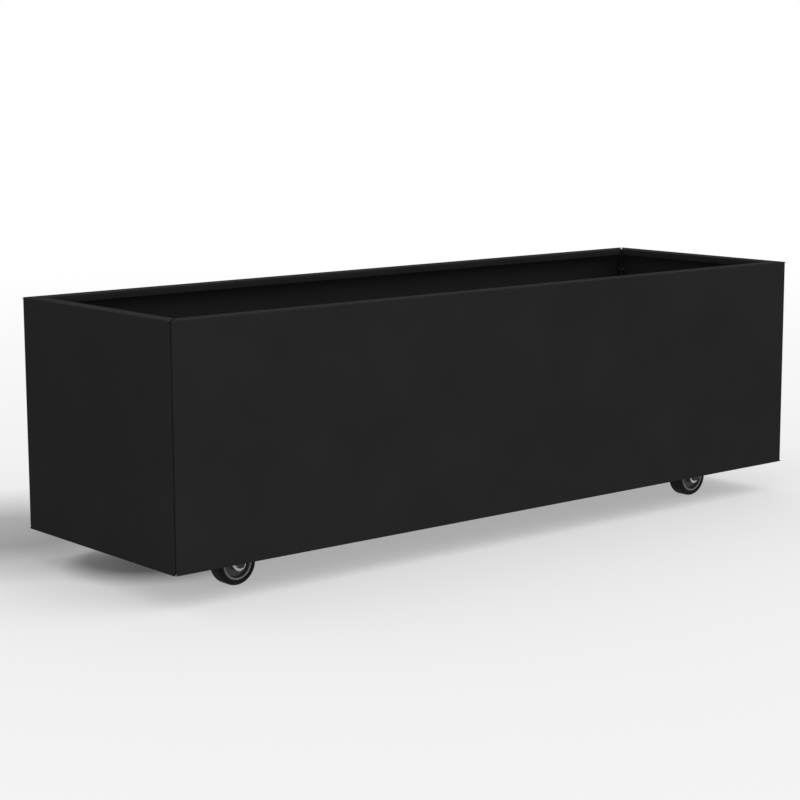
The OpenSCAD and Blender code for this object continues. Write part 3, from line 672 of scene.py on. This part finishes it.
def tangent(point, side):
    """Where a line from this (x, z) point touches the fork's round end, on the side given by its
    sign: the touch's angle about the axle, and the touch."""
    away = np.subtract(point, (TRAIL, WHEEL_R))
    angle = math.atan2(away[1], away[0]) + side * math.acos(FORK_END_R / math.hypot(*away))
    return angle, (TRAIL + FORK_END_R * math.cos(angle), WHEEL_R + FORK_END_R * math.sin(angle))


def fork_pressing():
    """Outside surface of the pressed fork. Its path in (y, z) goes up one leg, over the crown's
    two shoulders and down the other leg. Across it, x goes from the rear outline to the fore
    outline at that height: both are straight from the crown to where they touch the round end,
    and follow the circle below."""
    columns = 9
    shoulder = 2.4 * FORK_T
    knee = CROWN_Z - 2 * FORK_T
    low = WHEEL_R - FORK_END_R
    rear_turn, rear_touch = tangent((-CROWN_HALF, knee), 1)
    fore_turn, fore_touch = tangent((CROWN_HALF + FORK_T, knee), -1)
    rear_round = arc(TRAIL, WHEEL_R, FORK_END_R, 270, math.degrees(rear_turn) % 360, 24)
    fore_round = arc(TRAIL, WHEEL_R, FORK_END_R, -90, math.degrees(fore_turn), 24)
    rear = np.concatenate([rear_round, [rear_touch, (-CROWN_HALF, knee), (-CROWN_HALF, CROWN_Z)]])
    fore = np.concatenate([fore_round, [fore_touch, (CROWN_HALF + FORK_T, knee),
                                        (CROWN_HALF, CROWN_Z)]])
    steps = WHEEL_R - FORK_END_R * np.cos(np.radians(np.linspace(0, 90, 12)))
    climb = np.concatenate([[low], steps[1:], np.linspace(WHEEL_R, CROWN_Z - shoulder, 10)[1:-1]])
    leg = np.stack([np.full(len(climb), -FORK_HALF), climb], 1)
    crest = arc(-FORK_HALF + shoulder, CROWN_Z - shoulder, shoulder, 180, 90)
    path = np.concatenate([leg, crest])
    path = np.concatenate([path, (path * (-1, 1))[::-1]])
    y, z = path.T
    back, front = (np.interp(z, line[:, 1], line[:, 0]) for line in (rear, fore))
    across = np.linspace(0, 1, columns)
    points = np.stack([back[:, None] + np.outer(front - back, across),
                       np.repeat(y[:, None], columns, 1), np.repeat(z[:, None], columns, 1)], -1)
    return points.reshape(-1, 3), grid_faces(len(path), columns)


def both_sides(half):
    """Closed (r, y) outline from its half on the side of +y."""
    return np.concatenate([half, (half * (1, -1))[::-1]])


def tyre_profile():
    """Closed (r, y) outline of the tyre: flat sides with a shallow groove, round shoulders, and
    between them a flat tread with points close to its middle."""
    shoulder = 7 * MM
    side = np.array([(SEAT_R, 0), (SEAT_R, TYRE_HALF - 0.6 * MM), (SEAT_R + 0.6 * MM, TYRE_HALF),
                     (SEAT_R + 0.9 * MM, TYRE_HALF - 0.25 * MM), (SEAT_R + 1.2 * MM, TYRE_HALF)])
    round_off = arc(WHEEL_R - shoulder, TYRE_HALF - shoulder, shoulder, 90, 0, 12)
    tread = np.array([(WHEEL_R, 0.5 * MM), (WHEEL_R, 0.3 * MM), (WHEEL_R, 0)])
    return both_sides(np.concatenate([side, round_off, tread]))


def core_profile():
    """Closed (r, y) outline of the moulded core: hub, dished web and a rim with a raised bead,
    drawn in millimetres for a rim 15 mm out and then narrowed to 1 mm inside the tyre's side."""
    half = np.array([(6.05, 0), (6.05, 17.2), (6.4, 17.6), (10.4, 17.6), (11, 17), (11.3, 9.2),
                     (12.2, 8.2), (14, 8), (20.5, 8), (22.6, 8.4), (23.4, 9.4), (23.8, 13.2),
                     (24.1, 13.8), (24.6, 14), (25.0, 14.2), (25.2, 14.8), (25.7, 15),
                     (26.9, 15), (27.4, 14.8), (27.6, 14.3), (28.5, 14.2),
                     (SEAT_R / MM, 13.8), (SEAT_R / MM, 0)]) * MM
    half[:, 1] *= (TYRE_HALF - 1 * MM) / (15 * MM)
    return both_sides(half)


def bead_highlight(points):
    """1 on the core's raised bead, where a highlight is painted, and 0 elsewhere, by the distance
    from the axle.
    """
    from_axle = np.hypot(points[:, 0] - SWIVEL.x - TRAIL, points[:, 2] - WHEEL_R)
    return (abs(from_axle - BEAD_R) < BEAD_HALF).astype(float)


def make_casters(zinc, oxide, core, rubber):
    """The front left caster's fork, raceway, axle bolt, locking nut and wheel, and their mirror
    images at the others."""
    at_swivel = Matrix.Translation(SWIVEL)
    at_axle = at_swivel @ Matrix.Translation((TRAIL, 0, WHEEL_R)) @ Z_TO_Y
    out = FORK_HALF + SEAT
    head_stand = Matrix.Translation((0, 0, -out)) @ FLIP
    flange_r, flange_h = 6.2 * MM, 0.4 * MM
    flange = lathe([(0, 0), (flange_r, 0), (flange_r, flange_h), (0, flange_h)])
    head = hexagon(M8_FLATS, flange_h, flange_h + 4.9 * MM, both=True)
    axle_bolt = joined(placed(head, [head_stand]), placed(flange, [head_stand]),
                       lathe(threaded(M8_R, -out, out + 6.5 * MM, out + 10 * MM, M8_PITCH)))
    collar = np.array([(4.6, 5.6), (6.1, 5.6), (6, 6.9), (5.4, 7.8), (4.9, 8), (4.3, 8),
                       (4.1, 7.6), (4.1, 5.6), (4.6, 5.6)]) * MM + (0, out)
    nut = joined(hexagon(M8_FLATS, out, out + 6 * MM, M8_R, True), lathe(collar))
    race = np.array([(7, 0), (25, 0), (25, 3.1), (24.6, 3.5), (19.6, 3.5), (18.6, 2.6), (17, 1.9),
                     (15.4, 2.6), (14.4, 3.5), (7, 3.5), (7, 0)]) * MM + (0, CROWN_Z)
    wanted = [
        ("fork_pressing", "fork", "_caster", placed(fork_pressing(), [at_swivel]), zinc,
         "zinc_plate", dict(sheet=FORK_T, bevel=0.3 * MM, sharp=50)),
        ("fork_raceway", None, "_caster", placed(lathe(race, 72), [at_swivel]), zinc,
         "zinc_plate", {}),
        ("axle_hex_bolt", "axle_bolt", "_caster", placed(axle_bolt, [at_axle]), oxide,
         "black_oxide", {}),
        ("axle_lock_nut", "axle_nut", "_caster", placed(nut, [at_axle]), zinc, "zinc_plate", {}),
        ("moulded_core", "wheel_core", "_wheel", placed(lathe(core_profile(), 96), [at_axle]),
         core, "core_plastic", dict(highlight_marks=bead_highlight, sharp=40)),
        ("rubber_tyre", "tyre", "_wheel", placed(lathe(tyre_profile(), 96), [at_axle]), rubber,
         "tyre_rubber", dict(sharp=60)),
    ]
    for label, node, turns_with, part, material, slot, options in wanted:
        first = None
        for corner in CASTERS:
            name, body = corner + "_" + label, corner + turns_with
            nodes = (corner + "_" + node,) if node else ()
            if first is None:
                first = piece(name, part, material, body, nodes, slot, **options)
            else:
                mirrored(first, name, -1 if "right" in corner else 1,
                         -1 if "back" in corner else 1, body, nodes)


# ---------------------------------------------------------------- the whole

def carried_over(coat, zinc, steel):
    """Finishes on the CAD nodes that keep their own shapes."""
    for name in ("deck", "long_ledges", "end_ledges", "left_rail", "centre_rail", "right_rail",
                 "centre_brace"):
        coated(name, coat)
    for corner in CASTERS:
        for part in ("plate", "king_pin", "lower_race", "axle_sleeve"):
            coated(corner + "_" + part, zinc)
        coated(corner + "_race_balls", steel)


def coated(name, material):
    """Puts a finish on a CAD node."""
    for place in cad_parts[name].material_slots:
        place.material = material


aim_camera()
studio()
floor()
make_effects()
# The powder coat gives off a faint painted glow that keeps its deep shade from black.
powder_coat = finish("satin_powder_coat", grey(0.013), grey(0.0155), 0.6, specular=0.0015,
                     mottle=0.16, relief=(1.6 * MM, 0.012 * MM), rough_spread=0.04, dust=0.012,
                     painted_glow=0.002)
zinc_plate = finish("zinc_plating", grey(0.42, -0.01), grey(0.56, 0.01), 0.42, metal=0.85,
                    mottle=0.012, relief=(1.2 * MM, 0.008 * MM), dust=0.1, seed=3)
black_oxide = finish("oxide_black", grey(0.018, 0.03), grey(0.034, 0.05), 0.45, metal=0.5,
                     mottle=0.006, relief=(0.8 * MM, 0.006 * MM), rub=grey(0.12), seed=5)
bearing_steel = finish("polished_balls", grey(0.5), grey(0.6), 0.16, metal=1.0, mottle=0.004,
                       relief=(0.6 * MM, 0.001 * MM), rough_spread=0.05, seed=7)
# The core's bead is painted light grey as a highlight.
core_plastic = finish("moulded_core_plastic", grey(0.035, -0.02), grey(0.05, -0.02), 0.5,
                      mottle=0.02, relief=(0.9 * MM, 0.01 * MM), painted_highlight=grey(0.18), dust=0.06,
                      seed=9)
tyre_rubber = finish("tyre_compound", grey(0.006, 0.02), grey(0.011, 0.04), 0.72, specular=0.15,
                     mottle=0.03, relief=(0.7 * MM, 0.03 * MM), dust=0.05, seed=11)
make_panels(powder_coat)
make_corner_bolts(black_oxide)
make_brace_studs(zinc_plate)
make_rivets(zinc_plate)
make_plate_bolts(zinc_plate)
make_casters(zinc_plate, black_oxide, core_plastic, tyre_rubber)
carried_over(powder_coat, zinc_plate, bearing_steel)
